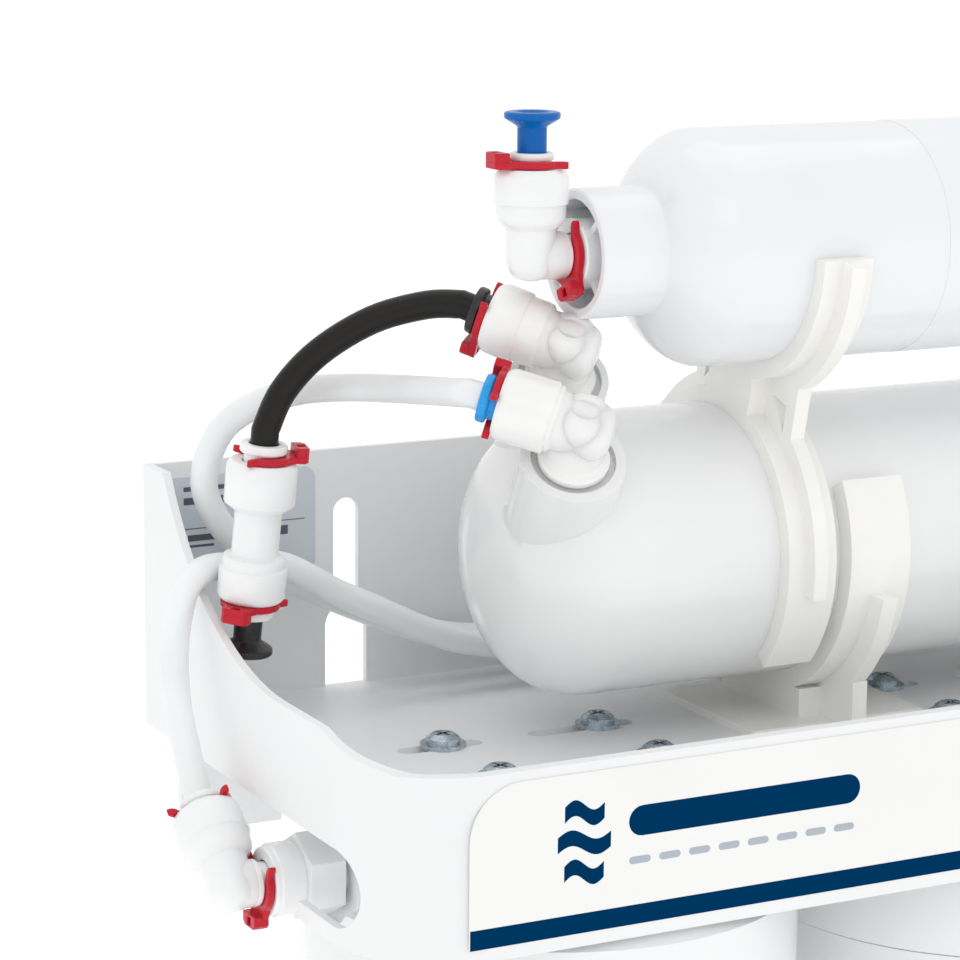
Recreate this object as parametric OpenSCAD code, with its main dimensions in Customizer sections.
// Under-sink reverse osmosis drinking-water unit, in millimetres.
// X runs to the right, Y towards the wall, Z up. The origin is the middle of the
// footprint at the bottom of the bowls. Inside the file every sub-part is placed from
// the shelf: X from the outer face of the left side panel, Y from the back of the back
// plate, Z from the top of the shelf. place() moves that to the origin.

/* [Bracket] */
// Width over the two side panels
bracket_w = 377; // [374:1:380]
// Depth from the back plate to the front apron
bracket_d = 130; // [130:0.5:132]
// Thickness of the folded sheet
sheet_t = 2; // [1.5:0.5:2]
// Height of the back plate above the shelf
back_h = 58.6; // [56:0.2:62]
// Height of the front lip above the shelf
lip_h = 15; // [12:1:16]
// Drop of the front apron below the shelf
apron_drop = 25; // [22:1:25]
// Radius of the two front corners
corner_r = 25; // [20:1:28]

/* [Filter housings] */
// Distance between housing axes
housing_pitch = 120; // [118:1:121]
// Distance from the back of the bracket to the housing axes
housing_y = 74.5; // [74:0.5:75]
// Outer radius of a head's skirt
head_r = 56.5; // [55:0.5:57]
// Overall height below the shelf
housing_h = 300; // [300:5:320]
// Outer radius of a bowl under its collar
bowl_r = 50; // [49:0.5:51]
// Wall thickness of a bowl
bowl_wall = 4; // [3:0.5:4]
// Depth of the port axis below the shelf
port_drop = 20.4; // [20:0.2:21]

/* [Membrane vessel] */
// Outer radius of the vessel
vessel_r = 32.2; // [32:0.1:32.4]
// Height of its axis above the shelf
vessel_z = 42.8; // [42.6:0.1:43]
// Distance of its axis from the back of the bracket
vessel_y = 65; // [64.5:0.5:65.5]
// Outer radius of the screw cap
cap_r = 36; // [35:0.5:37]

/* [Post filter] */
// Outer radius of the post filter
filter_r = 26.4; // [26:0.1:26.6]
// Height of its axis above the shelf
filter_z = 113.6; // [113:0.2:114]
// Distance of its axis from the back of the bracket
filter_y = 81.4; // [81:0.2:82]

/* [Tubing] */
// Outer diameter of the tubing
tube_d = 6.35; // [6.3:0.05:6.4]

/* [Hidden] */
$fn = 48;

// From the shelf's frame to the origin under the middle of the bowls
origin_x = 186.45;
origin_y = -65.5;
white = [0.93, 0.94, 0.94];
ivory = [0.90, 0.89, 0.85];
red = [0.80, 0.08, 0.16];
head_x = [bracket_w / 2 - housing_pitch, bracket_w / 2, bracket_w / 2 + housing_pitch];
gap = 0.2;

// Push-in fittings: distances from the corner or the mouth, and radii
bore_r = 3.4;
neck_r = 5.9;
step_r = 7.3;
socket_r = 8.1;
step_at = 6.6;
socket_at = 11.3;
mouth_at = 18.4;
collet_neck_r = 4.3;
collet_flange_r = 5;
collet_end = 4.1;
clip_t = 1.6;
clip_r = 8.8;
plug_flange_r = 6.05;

// Ports of the membrane vessel: mouth, lean outwards, lean forwards and elbow swivels
port_a = [64.5, -90.4, 70.4];
port_b = [69.9, -74.0, 85.3];
port_lean_out = 11;
port_lean_front = 41;
permeate_swivel = 36;
drain_swivel = 42;
elbow_h = 11;

// Corner of the outlet elbow and how far its leg leans back
outlet_corner = [-9.7, -housing_y, -port_drop];
outlet_lean = 50;
// Corner of the faucet elbow
faucet_corner = [58.3, -filter_y, filter_z];
filter_left = 68.9;
filter_mouth = 68;
tee_corner = [318.7, -filter_y, filter_z];
tee_lean = 30;
// Corner of the elbow on the screw cap
cap_corner = [386, -vessel_y, vessel_z];
// Union in the drain line: middle, lean outwards and lean forwards
union_mid = [10.75, -41.9, 50];
union_lean_out = 3.4;
union_lean_front = 5.2;
union_half = 16.1;
// Shut-off valve: middle of the body and the height of its two rows of ports
valve_mid = [190, -14, 19];
valve_ports = [11, 27];
valve_port_x = 22;

// Rotation of the vessel ports' frame, as a 3 by 3 matrix times a vector
function rot_x(a, v) = [v[0], v[1] * cos(a) - v[2] * sin(a), v[1] * sin(a) + v[2] * cos(a)];
function rot_y(a, v) = [v[0] * cos(a) + v[2] * sin(a), v[1], v[2] * cos(a) - v[0] * sin(a)];
function rot_z(a, v) = [v[0] * cos(a) - v[1] * sin(a), v[0] * sin(a) + v[1] * cos(a), v[2]];
function port_dir(swivel, v) = rot_x(port_lean_front, rot_y(-port_lean_out, rot_z(-swivel, v)));
// A point along the leg of a vessel port's elbow, d from its corner
function leg_point(port, swivel, d) = port + port_dir(swivel, [-d, 0, elbow_h]);
// A point on the union's axis, d above its middle
function union_point(d) = union_mid + rot_x(union_lean_front, rot_y(union_lean_out, [0, 0, d]));
function outlet_point(d) = outlet_corner + [0, d * sin(outlet_lean), d * cos(outlet_lean)];
function tee_point(d) = tee_corner + [0, d * cos(tee_lean), -d * sin(tee_lean)];

// Where a tube enters a fitting: seated end and end of the straight stretch
seat = 7.5;
straight = 25;

drain_route = [leg_point(port_b, drain_swivel, seat), leg_point(port_b, drain_swivel, straight),
               [43.3, -61, 101.3], [33, -55, 97.8], [22.7, -49.5, 90.5], [15.8, -45.5, 81.7],
               union_point(union_half + 7), union_point(union_half - 10)];
permeate_route = [leg_point(port_a, permeate_swivel, seat), leg_point(port_a, permeate_swivel, straight),
                  [38.9, -53.5, 81.8], [31.2, -42, 80.8], [24.7, -33.5, 79.1], [18.4, -26, 75.6],
                  [13, -20, 70.3], [9.8, -17, 63.2], [9, -15.5, 56], [11.5, -14, 49.2],
                  [16.6, -12, 42.4], [23, -10.5, 36.6], [31, -10, 31], [43, -10, 24.5],
                  [56, -10, 18.5], [70, -10, 13], [86, -10, 10.5], [106, -10, 13],
                  [126, -12, 19], [144, -13.5, 25], [158, -14, 27], [174, -14, 27]];
prefiltered_route = [outlet_point(seat), outlet_point(straight), [-10.2, -49.5, 6], [-9.8, -44, 15],
                     [-8.6, -40.5, 24], [-6.6, -38, 31], [-3.8, -35.8, 36.8], [0.9, -33.4, 39.7],
                     [5.8, -30.2, 39.6], [11.5, -27, 38.6], [18.5, -24.5, 37.8], [27, -22, 35.8],
                     [40.5, -20, 28], [51, -20, 22.8], [64, -20, 16.3], [76, -20, 12],
                     [95, -20, 9], [120, -18, 9.5], [145, -15, 10.8], [158, -14, 11],
                     [174, -14, 11]];
vessel_feed_route = [[206, -14, 11], [222, -14, 11], [250, -13, 11], [280, -12, 14], [305, -12, 24],
                     [325, -14, 42], [340, -20, 62], [352, -29, 78], [364, -41, 88],
                     [375, -53, 90], [383, -62, 83], [386, -65, 73], [386, -65, 66],
                     [386, -65, 50.5]];
product_route = [[206, -14, 27], [222, -14, 27], [245, -14, 28], [270, -14, 34], [289, -14, 46],
                 [301, -15, 62], [309, -20, 78], [315, -30, 90], [318.5, -44, 95.5],
                 tee_point(straight + 3), tee_point(seat)];

// ---- helpers ----

module place() {
    translate([-origin_x, -origin_y, housing_h]) children();
}

module at_port(port, swivel) {
    translate(port) rotate([port_lean_front, 0, 0]) rotate([0, -port_lean_out, 0])
        rotate([0, 0, -swivel]) children();
}

module at_union() {
    translate(union_mid) rotate([union_lean_front, 0, 0]) rotate([0, union_lean_out, 0]) children();
}

// Turns +Z to +X, for what is round about the X axis
module along_x() {
    rotate([0, 90, 0]) children();
}

module ring(outer, inner, h) {
    difference() {
        cylinder(r = outer, h = h);
        translate([0, 0, -1]) cylinder(r = inner, h = h + 2);
    }
}

// Closed tube of ten sides through the points of a route, smoothed between them
function spline(a, b, c, d, t) =
    0.5 * (2 * b + (c - a) * t + (2 * a - 5 * b + 4 * c - d) * t * t
           + (3 * b - a - 3 * c + d) * t * t * t);
function unit(v) = v / norm(v);
function smooth_route(p, steps) = let (n = len(p) - 1) concat(
    [for (i = [0 : n - 1], k = [0 : steps - 1])
        spline(p[max(i - 1, 0)], p[i], p[i + 1], p[min(i + 2, n)], k / steps)],
    [p[n]]);
function headings(q) = let (n = len(q) - 1)
    [for (i = [0 : n]) unit(q[min(i + 1, n)] - q[max(i - 1, 0)])];
function carried(t, i, v) = i >= len(t) ? [] :
    let (w = unit(v - (v * t[i]) * t[i])) concat([w], carried(t, i + 1, w));

module tube_sweep(route, d, steps = 1) {
    sides = 10;
    q = smooth_route(route, steps);
    t = headings(q);
    side = carried(t, 0, cross(t[0], [0.3, 0.2, 0.9]));
    last = len(q) - 1;
    points = [for (i = [0 : last], k = [0 : sides - 1])
        q[i] + d / 2 * (cos(360 * k / sides) * side[i]
                        + sin(360 * k / sides) * cross(t[i], side[i]))];
    walls = [for (i = [0 : last - 1], k = [0 : sides - 1]) let (m = (k + 1) % sides)
        [i * sides + k, (i + 1) * sides + k, (i + 1) * sides + m, i * sides + m]];
    ends = [[for (k = [0 : sides - 1]) k],
            [for (k = [sides - 1 : -1 : 0]) last * sides + k]];
    polyhedron(points = points, faces = concat(walls, ends), convexity = 8);
}

// Push-in socket along +Z from the origin: neck, step and barrel, bored for the tube
module socket(neck_from = 0) {
    difference() {
        union() {
            translate([0, 0, neck_from]) cylinder(r = neck_r, h = step_at - neck_from + 0.5);
            translate([0, 0, step_at]) cylinder(r = step_r, h = socket_at - step_at + 0.5);
            translate([0, 0, socket_at]) cylinder(r = socket_r, h = mouth_at - socket_at);
        }
        socket_bore();
    }
}

module socket_bore() {
    translate([0, 0, 5]) cylinder(r = bore_r, h = mouth_at);
    translate([0, 0, 13]) cylinder(r = collet_neck_r + gap, h = mouth_at);
}

// Collet of a socket whose mouth is at the origin, facing +Z
module collet() {
    difference() {
        union() {
            translate([0, 0, -4.5]) cylinder(r = collet_neck_r, h = 4.5 + collet_end);
            translate([0, 0, 1.8]) cylinder(r = collet_flange_r, h = collet_end - 1.8);
        }
        translate([0, 0, -6]) cylinder(r = bore_r, h = 12);
    }
}

// Red locking clip on a collet's neck: slot open to -X, tab to +X
module locking_clip() {
    color(red) translate([0, 0, 0.1]) difference() {
        union() {
            cylinder(r = clip_r, h = clip_t);
            translate([3, -3.2, 0]) cube([7.4, 6.4, clip_t]);
        }
        translate([0, 0, -1]) cylinder(r = collet_neck_r + gap, h = clip_t + 2);
        translate([-15, -collet_neck_r - gap, -1])
            cube([15, 2 * (collet_neck_r + gap), clip_t + 2]);
        translate([7.2, -1.2, -1]) cube([2, 2.4, clip_t + 2]);
        for (s = [-1, 1]) translate([-clip_r - 3.6, s * clip_r - 4, -1]) cube([8, 8, clip_t + 2]);
    }
}

// Plug pushed into a collet whose mouth is at the origin, facing +Z
module plug() {
    difference() {
        union() {
            translate([0, 0, -6]) cylinder(d = tube_d, h = 18.6);
            translate([0, 0, 11.2]) cylinder(r = plug_flange_r, h = 2.1);
        }
        translate([0, 0, 5]) cylinder(r = 2, h = 20);
    }
}

// Elbow from a port mouth at the origin: stem down -Z, leg along -X at height h
module elbow(h, stem_r, stem_l) {
    difference() {
        union() {
            translate([0, 0, -stem_l]) cylinder(r = stem_r, h = stem_l + 1);
            cylinder(r = neck_r, h = h);
            translate([0, 0, h]) sphere(r = neck_r);
            translate([0, 0, h]) rotate([0, -90, 0]) socket();
        }
        translate([0, 0, h]) rotate([0, -90, 0]) socket_bore();
        translate([0, 0, -stem_l - 1]) cylinder(r = 2, h = stem_l + 1 + h);
        translate([0, 0, h]) rotate([0, -90, 0]) cylinder(r = 2, h = 6);
    }
}

// ---- bracket ----

module bracket_outline(inset) {
    r = corner_r;
    translate([inset, -bracket_d + r]) square([bracket_w - 2 * inset, bracket_d - r]);
    translate([r, -bracket_d + inset]) square([bracket_w - 2 * r, r]);
    for (x = [r, bracket_w - r]) translate([x, -bracket_d + r]) circle(r = r - inset, $fn = 64);
}

// Side view of the panels, with the curved top edge and the notch for the port
module side_profile() {
    curve_r = 75;
    curve_y = 78;
    side_lip = 20.3;
    panel_drop = 4;
    notch_r = 8.5;
    notch_y = 106.5;
    difference() {
        polygon([[0, back_h], [-12.3, back_h], [-curve_y, back_h], [-curve_y, side_lip],
                 [-100, side_lip], [-122, lip_h], [-bracket_d, lip_h],
                 [-bracket_d, -apron_drop], [-88, -apron_drop],
                 [-88, -panel_drop - 2 * notch_r], [-notch_y, -panel_drop - 2 * notch_r],
                 [-notch_y, -panel_drop], [0, -panel_drop]]);
        translate([-curve_y, side_lip + curve_r]) circle(r = curve_r, $fn = 128);
        translate([-notch_y, -panel_drop - notch_r]) circle(r = notch_r);
    }
}

module walls() {
    intersection() {
        translate([0, 0, -apron_drop]) linear_extrude(apron_drop + back_h) difference() {
            bracket_outline(0);
            translate([0, 1]) bracket_outline(sheet_t);
            translate([sheet_t, -20]) square([bracket_w - 2 * sheet_t, 30]);
        }
        rotate([90, 0, 90]) linear_extrude(bracket_w) side_profile();
    }
}

module slot_x(x, y, length, width) {
    translate([x - length / 2 + width / 2, y, -sheet_t - 1]) cylinder(d = width, h = sheet_t + 2);
    translate([x + length / 2 - width / 2, y, -sheet_t - 1]) cylinder(d = width, h = sheet_t + 2);
    translate([x - length / 2 + width / 2, y - width / 2, -sheet_t - 1])
        cube([length - width, width, sheet_t + 2]);
}

// Slots that take the hooks of the clips
hook_x = [124, bracket_w - 124 - 10];
screw_x = 20.15;
screw_y = 14.05;
keyhole_x = 51.2;
keyhole_r = 3.3;
keyhole_top = 43.1;

module keyhole(x) {
    for (z = [[keyhole_top, keyhole_r], [15, 5.5]])
        translate([x, 1, z[0]]) rotate([90, 0, 0]) cylinder(r = z[1], h = sheet_t + 2);
    translate([x - keyhole_r, -sheet_t - 1, 15]) cube([2 * keyhole_r, sheet_t + 2, keyhole_top - 15]);
    translate([x - 5.5, -sheet_t - 1, 0]) cube([11, sheet_t + 2, 15]);
}

module bracket() {
    tab_w = 26;
    color(white) difference() {
        union() {
            walls();
            translate([0, 0, -sheet_t]) linear_extrude(sheet_t) bracket_outline(0.5);
            translate([0, -sheet_t, -4]) cube([bracket_w, sheet_t, back_h + 4]);
            for (x = [8, bracket_w - 8 - tab_w]) translate([x, -sheet_t, -32]) cube([tab_w, sheet_t, 29]);
        }
        keyhole(keyhole_x);
        keyhole(bracket_w - keyhole_x);
        for (x = head_x, s = [-1, 1]) {
            slot_x(x - 20.8, -housing_y + s * screw_y, 21, 5);
            slot_x(x + 15.5, -housing_y + s * screw_y, 27, 5);
        }
        for (x = hook_x) translate([x - 0.5, -vessel_y - 13, -sheet_t - 1]) cube([11, 6, sheet_t + 2]);
    }
}

// ---- housings ----

// Port bosses: where they end and how deep their sockets are
boss_x = 53.2;
port_depth = 6.6;

module head(i) {
    color(white) translate([head_x[i], -housing_y, 0]) difference() {
        union() {
            rotate_extrude($fn = 96) polygon([[0, -2], [43, -2], [49, -4.5], [52.3, -10], [52.3, -25.5],
                [head_r, -27.5], [head_r, -48], [46, -48], [46, -14], [14, -14], [14, -37.8],
                [6, -37.8], [6, -12], [0, -12]]);
            for (a = [-90, 90]) translate([0, 0, -port_drop]) rotate([0, a, 0])
                translate([0, 0, 46.4]) cylinder(r = 12.5, h = boss_x - 46.4);
            translate([0, 0, -port_drop]) rotate([0, -90, 0]) translate([0, 0, 10])
                cylinder(r = 6.2, h = 37);
        }
        translate([0, 0, -28.4]) cylinder(r = 5, h = 12);
        translate([0, 0, -port_drop]) rotate([0, -90, 0]) cylinder(r = 4, h = 60);
        translate([0, 0, -port_drop]) rotate([0, 90, 0]) translate([0, 0, 40]) cylinder(r = 4, h = 20);
        for (a = [-90, 90]) translate([0, 0, -port_drop]) rotate([0, a, 0]) {
            translate([0, 0, boss_x - port_depth]) cylinder(r = 6.5, h = 12);
            translate([0, 0, boss_x]) cylinder(r = 12.2, h = 8);
        }
        for (x = [-screw_x, screw_x], y = [-screw_y, screw_y])
            translate([x, y, -13]) cylinder(r = 2.1, h = 12);
    }
}

module bowl(i) {
    rib_count = 12;
    floor_z = -housing_h;
    color(white) translate([head_x[i], -housing_y, 0]) difference() {
        union() {
            rotate_extrude($fn = 96) polygon([[0, floor_z + 2], [34, floor_z + 2], [34, floor_z],
                [39, floor_z], [44.5, floor_z + 5], [46, floor_z + 12], [bowl_r, -66], [head_r - 1, -61],
                [head_r - 1, -48.6], [45.6, -48.6], [45.6, -32.5], [43, -32.5], [43, -29.5],
                [45.6, -29.5], [45.2, -28], [41, -28], [41, -60], [bowl_r - bowl_wall, -70],
                [46 - bowl_wall, floor_z + 14], [38, floor_z + 6], [24, floor_z + 6],
                [24, floor_z + 12], [0, floor_z + 12]]);
            for (k = [0 : rib_count - 1]) rotate([0, 0, 360 * k / rib_count])
                translate([bowl_r - 2, -3, -108]) cube([5, 6, 45]);
        }
        translate([0, 0, floor_z + 5]) cylinder(r = 20, h = 20);
    }
}

module bowl_seal(i) {
    color([0.1, 0.1, 0.1]) translate([head_x[i], -housing_y, -31])
        rotate_extrude($fn = 96) translate([44.5, 0]) circle(r = 1.4, $fn = 24);
}

module cartridge_tube(i, outer, bore) {
    translate([head_x[i], -housing_y, -housing_h + 12]) ring(outer, bore, housing_h - 50);
}

module capped_cartridge(i, body_r) {
    translate([head_x[i], -housing_y, -housing_h + 12]) difference() {
        union() {
            translate([0, 0, 6]) cylinder(r = body_r, h = housing_h - 62);
            cylinder(r = 34.5, h = 8);
            translate([0, 0, housing_h - 58]) cylinder(r = 34.5, h = 8);
        }
        translate([0, 0, -1]) cylinder(r = 12, h = housing_h - 48);
    }
}

module carbon_block_cartridge() {
    color([0.88, 0.90, 0.88]) place() capped_cartridge(0, 31);
}

module granular_carbon_cartridge() {
    color(white) place() capped_cartridge(1, 33);
}

module sediment_cartridge() {
    color([0.95, 0.95, 0.93]) place() cartridge_tube(2, 32, 14);
}

// Screws with washers: shank in the head's pilot hole, pan head with a cross recess
module head_screw() {
    difference() {
        union() {
            ring(5.25, 2.1, 0.9);
            translate([0, 0, -12]) cylinder(r = 2, h = 13);
            translate([0, 0, 0.9]) cylinder(r = 3.9, h = 1.2);
            translate([0, 0, 2.1]) cylinder(r1 = 3.9, r2 = 2.6, h = 1);
        }
        for (a = [0, 90]) rotate([0, 0, a + 20]) translate([-2.2, -0.4, 1.6]) cube([4.4, 0.8, 3]);
    }
}

module head_screws() {
    color([0.62, 0.70, 0.74]) place() for (x = head_x, dx = [-screw_x, screw_x], dy = [-screw_y, screw_y])
        translate([x + dx, -housing_y + dy, 0]) head_screw();
}

module link_nipples() {
    span = housing_pitch - 2 * boss_x;
    color([0.85, 0.86, 0.85]) place() for (x = [head_x[0], head_x[1]])
        translate([x + boss_x, -housing_y, -port_drop]) along_x() difference() {
            union() {
                translate([0, 0, 0.1]) cylinder(r = 11, h = span - 0.2, $fn = 6);
                translate([0, 0, -6.2]) cylinder(r = 6.4, h = span + 12.4);
            }
            translate([0, 0, -10]) cylinder(r = 4, h = span + 20);
        }
}

// Hex adapter with a push-in socket; the origin is its socket mouth, facing +Z
module hex_adapter() {
    barrel_l = 7.4;
    hex_l = 8.4;
    difference() {
        union() {
            translate([0, 0, -barrel_l]) cylinder(r = 8.1, h = barrel_l - 1.2);
            translate([0, 0, -1.4]) cylinder(r = 7.6, h = 1.4);
            translate([0, 0, -barrel_l - hex_l]) cylinder(r = 10, h = hex_l + 0.2, $fn = 6);
            translate([0, 0, -barrel_l - hex_l - 6.2]) cylinder(r = 6.4, h = 7);
        }
        translate([0, 0, -4.7]) cylinder(r = collet_neck_r + gap, h = 6);
        translate([0, 0, -12]) cylinder(r = bore_r, h = 14);
        translate([0, 0, -40]) cylinder(r = 3, h = 30);
    }
}

outlet_mouth = -0.6;
feed_mouth = bracket_w + 0.6;

module outlet_adapter() {
    color(white) place() translate([outlet_mouth, -housing_y, -port_drop]) rotate([0, -90, 0])
        hex_adapter();
}

module feed_adapter() {
    color(white) place() translate([feed_mouth, -housing_y, -port_drop]) along_x()
        hex_adapter();
}

module outlet_elbow() {
    color(white) place() translate(outlet_corner) difference() {
        union() {
            rotate([-outlet_lean, 0, 0]) socket();
            sphere(r = neck_r);
            rotate([0, 90, 0]) cylinder(r = neck_r - 0.4, h = 5.5);
            rotate([0, 90, 0]) cylinder(d = tube_d, h = 20);
        }
        rotate([-outlet_lean, 0, 0]) socket_bore();
        rotate([-outlet_lean, 0, 0]) cylinder(r = 2, h = 6);
        rotate([0, 90, 0]) cylinder(r = 2, h = 21);
    }
}

// ---- membrane vessel ----

vessel_left = 55.7;
dome_l = 23.3;
dome_power = 2.27;
vessel_end = 350;
cap_left = 331;
cap_right = 372;

// Radius of a dome of length l, at a distance x inwards from its start
function dome(x, l, r, p) = r * pow(max(0, 1 - pow(x / l, p)), 1 / p);

module vessel_shell(r, left, power, l) {
    steps = 14;
    along_x() rotate_extrude($fn = 96) polygon(concat(
        [for (k = [0 : steps]) let (x = l * sin(90 * k / steps))
            [dome(x, l, r, power), left + l - x]],
        [[0, vessel_end], [r, vessel_end]]));
}

module vessel_bosses() {
    at_port(port_a, 0) translate([0, 0, -28]) cylinder(r = 11.7, h = 28);
    at_port(port_b, 0) translate([0, 0, -34]) cylinder(r = 11, h = 34);
}

module port_cup(port) {
    at_port(port, 0) {
        translate([0, 0, -1.6]) cylinder(r = 9.4, h = 3);
        translate([0, 0, -10.4]) cylinder(r = 5.1, h = 12);
        translate([0, 0, -17]) cylinder(r = 2.2, h = 12);
    }
}

module membrane_vessel() {
    wall = 3.5;
    color([0.95, 0.95, 0.94]) place() difference() {
        union() {
            translate([0, -vessel_y, vessel_z]) vessel_shell(vessel_r, vessel_left, dome_power, dome_l);
            vessel_bosses();
        }
        translate([0, -vessel_y, vessel_z]) along_x() {
            translate([0, 0, vessel_left + dome_l + 8]) cylinder(r = vessel_r - wall, h = 300);
            translate([0, 0, vessel_left + dome_l - 5]) cylinder(r = 8.7, h = 20);
        }
        port_cup(port_a);
        port_cup(port_b);
    }
}

module membrane_cap() {
    grips = 18;
    color(white) place() translate([0, -vessel_y, vessel_z]) difference() {
        union() {
            along_x() rotate_extrude($fn = 96) polygon([[0, cap_left], [cap_r - 1, cap_left],
                [cap_r, cap_left + 1.5], [cap_r, cap_right - 8], [cap_r - 4, cap_right - 2.5],
                [cap_r - 9, cap_right], [0, cap_right]]);
            along_x() translate([0, 0, cap_right - 1]) cylinder(r = 11, h = 4);
            for (k = [0 : grips - 1]) rotate([360 * k / grips, 0, 0])
                translate([cap_left + 3, -1.5, cap_r - 1]) cube([26, 3, 2.2]);
        }
        along_x() {
            translate([0, 0, cap_left - 1]) cylinder(r = vessel_r + 0.3, h = vessel_end + 2.9 - cap_left + 1);
            translate([0, 0, vessel_end + 2]) cylinder(r = 20, h = 10);
            translate([0, 0, cap_right - 8]) cylinder(r = 5.1, h = 20);
            translate([0, 0, cap_right - 12]) cylinder(r = 2.2, h = 10);
        }
    }
}

module cap_seal() {
    color([0.1, 0.1, 0.1]) place() translate([vessel_end + 1.45, -vessel_y, vessel_z]) along_x()
        rotate_extrude($fn = 96) translate([30.4, 0]) circle(r = 1.4, $fn = 24);
}

module membrane_element() {
    color([0.2, 0.45, 0.7]) place() translate([0, -vessel_y, vessel_z]) along_x() difference() {
        union() {
            translate([0, 0, 90]) cylinder(r = 22.5, h = 248);
            translate([0, 0, 75.5]) cylinder(r = 8.5, h = 278);
        }
        translate([0, 0, 70]) cylinder(r = 4, h = 300);
    }
}

module drain_elbow() {
    color(white) place() at_port(port_b, drain_swivel) elbow(elbow_h, 5, 9);
}

module permeate_elbow() {
    color(white) place() at_port(port_a, permeate_swivel) elbow(elbow_h, 5, 9);
}

module cap_elbow() {
    stem = cap_corner[0] - cap_right - 3;
    color(white) place() translate([cap_right + 3, -vessel_y, vessel_z]) rotate([0, 90, 0])
        elbow(stem, 5, 9);
}

// ---- post filter ----

collar_l = 15;
collar_r = 14.3;
filter_dome_l = 17.5;
filter_dome_power = 1.74;
barrel_r = 7.8;

module half_filter() {
    steps = 10;
    dome_at = filter_left + 12.4 + filter_dome_l;
    polygon(concat([[0, bracket_w / 2], [0, filter_mouth], [barrel_r, filter_mouth],
        [barrel_r, filter_left + 10], [11.8, filter_left + 10], [11.8, filter_left],
        [collar_r - 0.6, filter_left], [collar_r, filter_left + 0.8]],
        [for (k = [steps - 1 : -1 : 0]) let (x = filter_dome_l * sin(90 * k / steps),
            r = dome(x, filter_dome_l, filter_r, filter_dome_power))
            if (r > collar_r) [r, dome_at - x]],
        [[filter_r, bracket_w / 2]]));
}

module filter_ports() {
    translate([0, 0, filter_mouth - 1]) cylinder(r = bore_r, h = 20);
    translate([0, 0, filter_mouth - 1]) cylinder(r = collet_neck_r + gap, h = 5.5);
}

module post_filter_body() {
    chamber_at = filter_left + 24;
    label_w = 78;
    color([0.94, 0.95, 0.96]) place() translate([0, -filter_y, filter_z]) along_x() difference() {
        union() {
            for (m = [0, 1]) translate([0, 0, m * bracket_w]) mirror([0, 0, m])
                rotate_extrude($fn = 96) half_filter();
            for (m = [0, 1]) translate([0, 0, m * bracket_w]) mirror([0, 0, m])
                for (a = [45, 135, 225, 315]) rotate([0, 0, a])
                    translate([barrel_r - 1, -0.7, filter_left + 2.5]) cube([5.5, 1.4, 9]);
        }
        for (m = [0, 1]) translate([0, 0, m * bracket_w]) mirror([0, 0, m]) filter_ports();
        translate([0, 0, chamber_at]) cylinder(r = 22.8, h = bracket_w - 2 * chamber_at);
        translate([0, 0, filter_left + 10]) cylinder(r = 2, h = bracket_w - 2 * filter_left - 20);
    }
}

module post_filter_carbon() {
    color([0.1, 0.1, 0.1]) place() translate([filter_left + 24.2, -filter_y, filter_z]) along_x()
        cylinder(r = 22.6, h = bracket_w - 2 * filter_left - 48.4);
}

// Plug-in elbow: a tube stem along +X from the corner and a socket upwards
module stem_joint() {
    rotate([0, 90, 0]) cylinder(r = neck_r - 0.4, h = 5.8);
    rotate([0, 90, 0]) cylinder(d = tube_d, h = 21);
    sphere(r = neck_r);
}

module faucet_elbow() {
    color(white) place() translate(faucet_corner) difference() {
        union() {
            socket();
            stem_joint();
        }
        socket_bore();
        cylinder(r = 2, h = 6);
        rotate([0, 90, 0]) cylinder(r = 2, h = 22);
    }
}

module faucet_collet() {
    color(white) place() translate(faucet_corner) translate([0, 0, mouth_at]) collet();
}

module faucet_plug() {
    color([0.02, 0.33, 0.68]) place() translate(faucet_corner) translate([0, 0, mouth_at]) plug();
}

module tank_tee() {
    color(white) place() translate(tee_corner) difference() {
        union() {
            rotate([90 - tee_lean, 0, 0]) translate([0, 0, -8]) cylinder(r = neck_r, h = 16);
            for (a = [-90 - tee_lean, 90 - tee_lean]) rotate([a, 0, 0]) {
                translate([0, 0, step_at]) cylinder(r = step_r, h = socket_at - step_at + 0.5);
                translate([0, 0, socket_at]) cylinder(r = socket_r, h = mouth_at - socket_at);
            }
            rotate([0, -90, 0]) cylinder(r = neck_r - 0.4, h = 5.8);
            rotate([0, -90, 0]) cylinder(d = tube_d, h = 24);
        }
        for (a = [-90 - tee_lean, 90 - tee_lean]) rotate([a, 0, 0]) socket_bore();
        rotate([90 - tee_lean, 0, 0]) translate([0, 0, -6]) cylinder(r = 2, h = 12);
        rotate([0, -90, 0]) cylinder(r = 2, h = 25);
    }
}

module tank_plug() {
    color(white) place() translate(tee_corner) rotate([90 - tee_lean, 0, 0])
        translate([0, 0, mouth_at]) plug();
}

// ---- drain line ----

module restrictor_union() {
    color(white) place() at_union() difference() {
        union() {
            for (m = [0, 1]) mirror([0, 0, m]) {
                translate([0, 0, 5]) cylinder(r = 8, h = union_half - 5);
                translate([0, 0, 3.5]) cylinder(r1 = 6, r2 = 8, h = 1.6);
            }
            translate([0, 0, -5]) cylinder(r = 5.95, h = 10);
        }
        for (m = [0, 1]) mirror([0, 0, m]) {
            translate([0, 0, 4]) cylinder(r = bore_r, h = 20);
            translate([0, 0, union_half - 5]) cylinder(r = collet_neck_r + gap, h = 20);
        }
        translate([0, 0, -10]) cylinder(r = 0.8, h = 20);
    }
}

module drain_plug() {
    color([0.06, 0.06, 0.07]) place() at_union() rotate([180, 0, 0])
        translate([0, 0, union_half]) plug();
}

// ---- shut-off valve ----

module valve_round(r, from, to) {
    translate([0, -from, 0]) rotate([90, 0, 0]) cylinder(r = r, h = to - from, $fn = 64);
}

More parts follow.
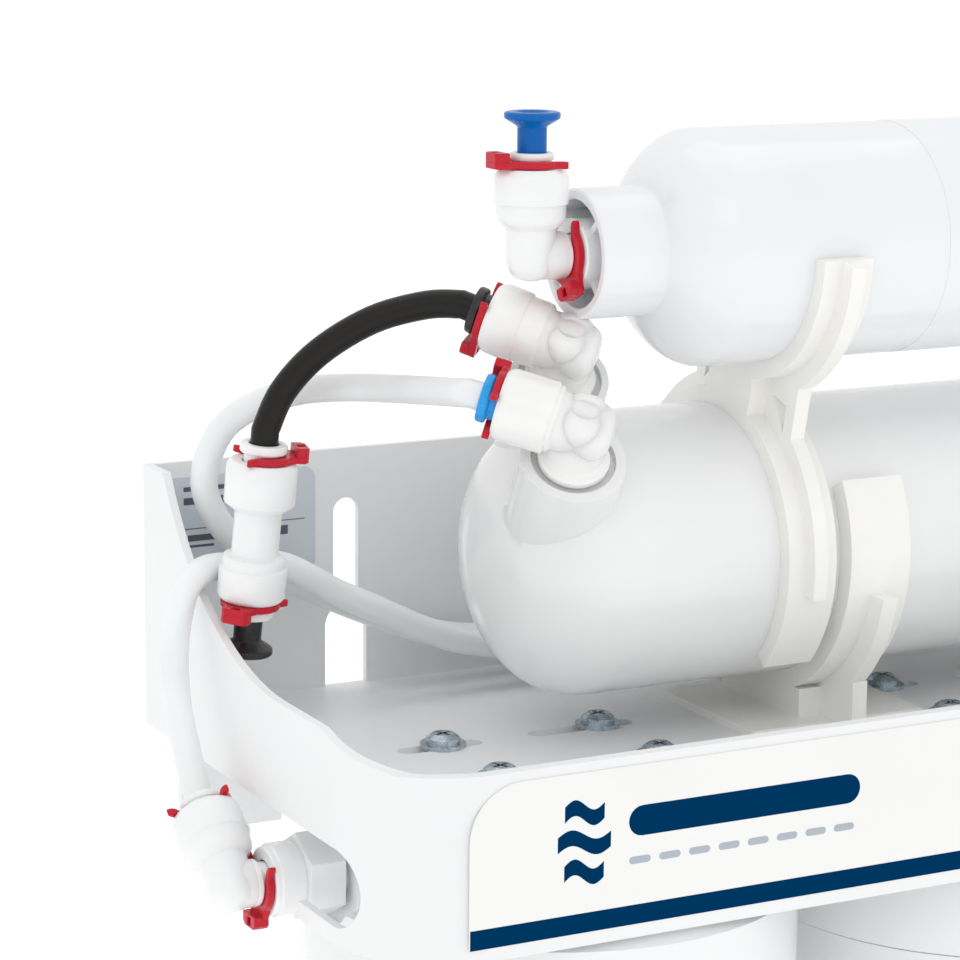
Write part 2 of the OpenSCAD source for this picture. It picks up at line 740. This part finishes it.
module valve_body() {
    color(white) place() translate([valve_mid[0], 0, valve_mid[2]]) difference() {
        union() {
            valve_round(16, 3, 22);
            translate([-9, -20, -valve_mid[2]]) cube([18, 15, 8]);
            for (z = valve_ports) translate([-valve_port_x + 2, valve_mid[1], z - valve_mid[2]])
                along_x() cylinder(r = 7, h = 2 * valve_port_x - 4);
        }
        for (z = valve_ports, s = [-1, 1]) translate([0, valve_mid[1], z - valve_mid[2]])
            rotate([0, s * 90, 0]) {
                translate([0, 0, 12]) cylinder(r = bore_r, h = 20);
                translate([0, 0, 15]) cylinder(r = collet_neck_r + gap, h = 20);
            }
        valve_round(11, 21, 24);
    }
}

module valve_cover() {
    color(white) place() translate([valve_mid[0], 0, valve_mid[2]]) difference() {
        union() {
            valve_round(16, 23, 27.5);
            valve_round(9, 27, 29);
        }
        valve_round(11, 22, 25);
        for (a = [45 : 90 : 315]) rotate([0, a, 0]) translate([13, 0, 0]) valve_round(1.3, 20, 30);
    }
}

module valve_diaphragm() {
    color([0.15, 0.15, 0.15]) place() translate([valve_mid[0], 0, valve_mid[2]])
        difference() {
            valve_round(15.5, 22, 23);
            for (a = [45 : 90 : 315]) rotate([0, a, 0]) translate([13, 0, 0]) valve_round(1.3, 20, 30);
        }
}

module valve_screws() {
    color([0.7, 0.7, 0.72]) place() translate([valve_mid[0], 0, valve_mid[2]])
        for (a = [45 : 90 : 315]) rotate([0, a, 0]) translate([13, 0, 0]) {
            valve_round(1.2, 22, 27.6);
            valve_round(2.2, 27.5, 28.8);
        }
}

// ---- clips that hold the vessel and the post filter ----

clip_x = [130, bracket_w - 130 - 16];
clip_w = 16;
double_x = [114, bracket_w - 114 - 12.5];
double_w = 12.5;

// C of inner radius r and thickness t, open by a wedge around the direction open_at
module c_profile(r, t, open_at, half_open) {
    reach = r + t + 20;
    difference() {
        circle(r = r + t, $fn = 96);
        circle(r = r, $fn = 96);
        rotate(open_at) polygon([[0, 0], [reach * cos(half_open), -reach * sin(half_open)],
            [reach * 1.5, 0], [reach * cos(half_open), reach * sin(half_open)]]);
    }
}

// Profiles are drawn in Y and Z and stood up along X from x, w wide
module extrude_x(x, w) {
    translate([x, 0, 0]) rotate([90, 0, 90]) linear_extrude(w) children();
}

module base_clip(i) {
    plate_w = 47;
    band = 4.6;
    rib_w = 4;
    plate_x = i == 0 ? clip_x[0] - 15.5 : clip_x[1] + clip_w + 15.5 - plate_w;
    color(ivory) place() {
        extrude_x(clip_x[i], clip_w) translate([-vessel_y, vessel_z])
            c_profile(vessel_r, band, 90, 60);
        extrude_x(clip_x[i] + (clip_w - rib_w) / 2, rib_w) difference() {
            union() {
                translate([-vessel_y, vessel_z]) circle(r = vessel_r + band + 5, $fn = 96);
                translate([-vessel_y - 30, 1]) square([60, 12]);
            }
            translate([-vessel_y, vessel_z]) circle(r = vessel_r + 1, $fn = 96);
            translate([-vessel_y - 50, vessel_z - 8]) square([100, 60]);
            translate([-vessel_y - 60, -9]) square([120, 9]);
        }
        translate([clip_x[i], -vessel_y - 17, 0]) difference() {
            cube([clip_w, 34, 9]);
            translate([-1, 17, vessel_z]) along_x() cylinder(r = vessel_r + 1, h = clip_w + 2, $fn = 96);
        }
        translate([plate_x, -vessel_y - 22, 0]) cube([plate_w, 42, 2]);
        translate([hook_x[i], -vessel_y - 12.5, -4]) cube([10, 5, 4.5]);
    }
}

tilt = atan2(filter_y - vessel_y, filter_z - vessel_z);

module double_clip(i) {
    band = 3.8;
    rib_w = 3.6;
    span = norm([filter_y - vessel_y, filter_z - vessel_z]);
    color(ivory) place() {
        extrude_x(double_x[i], double_w) translate([-vessel_y, vessel_z]) rotate(tilt) difference() {
            union() {
                circle(r = vessel_r + band, $fn = 96);
                translate([0, span]) circle(r = filter_r + band, $fn = 96);
                translate([-9, vessel_r]) square([18, span - vessel_r - filter_r]);
            }
            circle(r = vessel_r, $fn = 96);
            translate([0, span]) circle(r = filter_r, $fn = 96);
            rotate(-90) polygon([[0, 0], [40, -69.3], [100, 0], [40, 69.3]]);
            translate([0, span]) rotate(90) polygon([[0, 0], [13, -60], [80, 0], [13, 60]]);
        }
        extrude_x(double_x[i] + (double_w - rib_w) / 2, rib_w) translate([-vessel_y, vessel_z])
            rotate(tilt) difference() {
                union() {
                    circle(r = vessel_r + band + 3.5, $fn = 96);
                    translate([0, span]) circle(r = filter_r + band + 4, $fn = 96);
                    translate([-21, 18]) square([42, span - 34]);
                }
                circle(r = vessel_r + 1, $fn = 96);
                translate([0, span]) circle(r = filter_r + 1, $fn = 96);
                translate([-50, span + 6]) square([100, 60]);
                translate([-50, -60]) square([100, 62]);
                for (s = [-1, 1]) polygon([[s * 11.5, 40.6], [s * 17.4, 40.2], [s * 17.4, 33.6]]);
            }
    }
}

// ---- collets and locking clips ----

module collets_white() {
    color(white) place() {
        translate(outlet_corner) rotate([-outlet_lean, 0, 0]) translate([0, 0, mouth_at]) collet();
        translate([outlet_mouth, -housing_y, -port_drop]) rotate([0, -90, 0]) collet_short();
        translate([feed_mouth, -housing_y, -port_drop]) along_x() collet();
        translate([filter_mouth, -filter_y, filter_z]) rotate([0, -90, 0]) collet_short();
        translate([bracket_w - filter_mouth, -filter_y, filter_z]) along_x() collet_short();
        for (a = [-90 - tee_lean, 90 - tee_lean]) translate(tee_corner) rotate([a, 0, 0])
            translate([0, 0, mouth_at]) collet();
        translate([cap_right + 3, -vessel_y, vessel_z]) rotate([0, 90, 0])
            translate([-mouth_at, 0, cap_corner[0] - cap_right - 3]) rotate([0, -90, 0]) collet();
        for (z = valve_ports, s = [-1, 1])
            translate([valve_mid[0] + s * (valve_port_x - 2), valve_mid[1], z])
                rotate([0, s * 90, 0]) collet();
        for (m = [0, 180]) at_union() rotate([m, 0, 0]) translate([0, 0, union_half]) collet();
    }
}

// Collet with a thin flange, where an elbow stands close to the socket
module collet_short() {
    difference() {
        union() {
            translate([0, 0, -4]) cylinder(r = collet_neck_r, h = 7.2);
            translate([0, 0, 1.8]) cylinder(r = collet_flange_r, h = 1.4);
        }
        translate([0, 0, -6]) cylinder(r = bore_r, h = 12);
    }
}

module collet_black() {
    color([0.06, 0.06, 0.07]) place() at_port(port_b, drain_swivel)
        translate([-mouth_at, 0, elbow_h]) rotate([0, -90, 0]) collet();
}

module collet_blue() {
    color([0.10, 0.60, 0.90]) place() at_port(port_a, permeate_swivel)
        translate([-mouth_at, 0, elbow_h]) rotate([0, -90, 0]) collet();
}

module clip_faucet() {
    place() translate(faucet_corner) translate([0, 0, mouth_at]) rotate([0, 0, 180]) locking_clip();
}

module clip_post_filter() {
    place() translate([filter_mouth, -filter_y, filter_z]) rotate([0, -90, 0])
        rotate([0, 0, 207]) locking_clip();
}

module clip_drain() {
    place() at_port(port_b, drain_swivel) translate([-mouth_at, 0, elbow_h]) rotate([0, -90, 0])
        rotate([0, 0, 207]) locking_clip();
}

module clip_permeate() {
    place() at_port(port_a, permeate_swivel) translate([-mouth_at, 0, elbow_h]) rotate([0, -90, 0])
        rotate([0, 0, 90]) locking_clip();
}

module clip_union_top() {
    place() at_union() translate([0, 0, union_half]) rotate([0, 0, -10]) locking_clip();
}

module clip_union_bottom() {
    place() at_union() rotate([180, 0, 0]) translate([0, 0, union_half]) rotate([0, 0, 135])
        locking_clip();
}

module clip_outlet_elbow() {
    place() translate(outlet_corner) rotate([-outlet_lean, 0, 0]) translate([0, 0, mouth_at])
        rotate([0, 0, 60]) locking_clip();
}

module clip_outlet_port() {
    place() translate([outlet_mouth, -housing_y, -port_drop]) rotate([0, -90, 0])
        rotate([0, 0, 180]) locking_clip();
}

// ---- tubes ----

module drain_tube() {
    color([0.05, 0.05, 0.05]) place() tube_sweep(drain_route, tube_d);
}

module permeate_tube() {
    color([0.93, 0.94, 0.94]) place() tube_sweep(permeate_route, tube_d);
}

module prefiltered_tube() {
    color([0.93, 0.94, 0.94]) place() tube_sweep(prefiltered_route, tube_d);
}

module vessel_feed_tube() {
    color([0.93, 0.94, 0.94]) place() tube_sweep(vessel_feed_route, tube_d);
}

module product_tube() {
    color([0.93, 0.94, 0.94]) place() tube_sweep(product_route, tube_d);
}

// ---- labels ----

// Sheet of width w and height h with its two top corners rounded
module label_sheet(w, h, r) {
    square([w, h - r]);
    translate([r, h - r - 1]) square([w - 2 * r, r + 1]);
    for (x = [r, w - r]) translate([x, h - r]) circle(r = r);
}

module front_label() {
    side = 19.5;
    color([0.97, 0.97, 0.95]) place() translate([side, -bracket_d, -22.1]) rotate([90, 0, 0])
        linear_extrude(0.3) label_sheet(bracket_w - 2 * side, 35, 12);
}

module rating_label() {
    color([0.75, 0.79, 0.84]) place() translate([4, -sheet_t, 31]) rotate([90, 0, 0])
        linear_extrude(0.3) label_sheet(39, 24, 3);
}

place() bracket();
place() head(0);  // head_left
place() head(1);  // head_middle
place() head(2);  // head_right
place() bowl(0);  // bowl_left
place() bowl(1);  // bowl_middle
place() bowl(2);  // bowl_right
place() bowl_seal(0);  // bowl_seal_left
place() bowl_seal(1);  // bowl_seal_middle
place() bowl_seal(2);  // bowl_seal_right
carbon_block_cartridge();
granular_carbon_cartridge();
sediment_cartridge();
head_screws();
link_nipples();
outlet_adapter();
outlet_elbow();
feed_adapter();
membrane_vessel();
membrane_cap();
cap_seal();
membrane_element();
drain_elbow();
permeate_elbow();
cap_elbow();
post_filter_body();
post_filter_carbon();
faucet_elbow();
faucet_collet();
faucet_plug();
tank_tee();
tank_plug();
restrictor_union();
drain_plug();
valve_body();
valve_cover();
valve_diaphragm();
valve_screws();
base_clip(0);  // base_clip_left
base_clip(1);  // base_clip_right
double_clip(0);  // double_clip_left
double_clip(1);  // double_clip_right
collets_white();
collet_black();
collet_blue();
clip_faucet();
clip_post_filter();
clip_drain();
clip_permeate();
clip_union_top();
clip_union_bottom();
clip_outlet_elbow();
clip_outlet_port();
drain_tube();
permeate_tube();
prefiltered_tube();
vessel_feed_tube();
product_tube();
front_label();
rating_label();
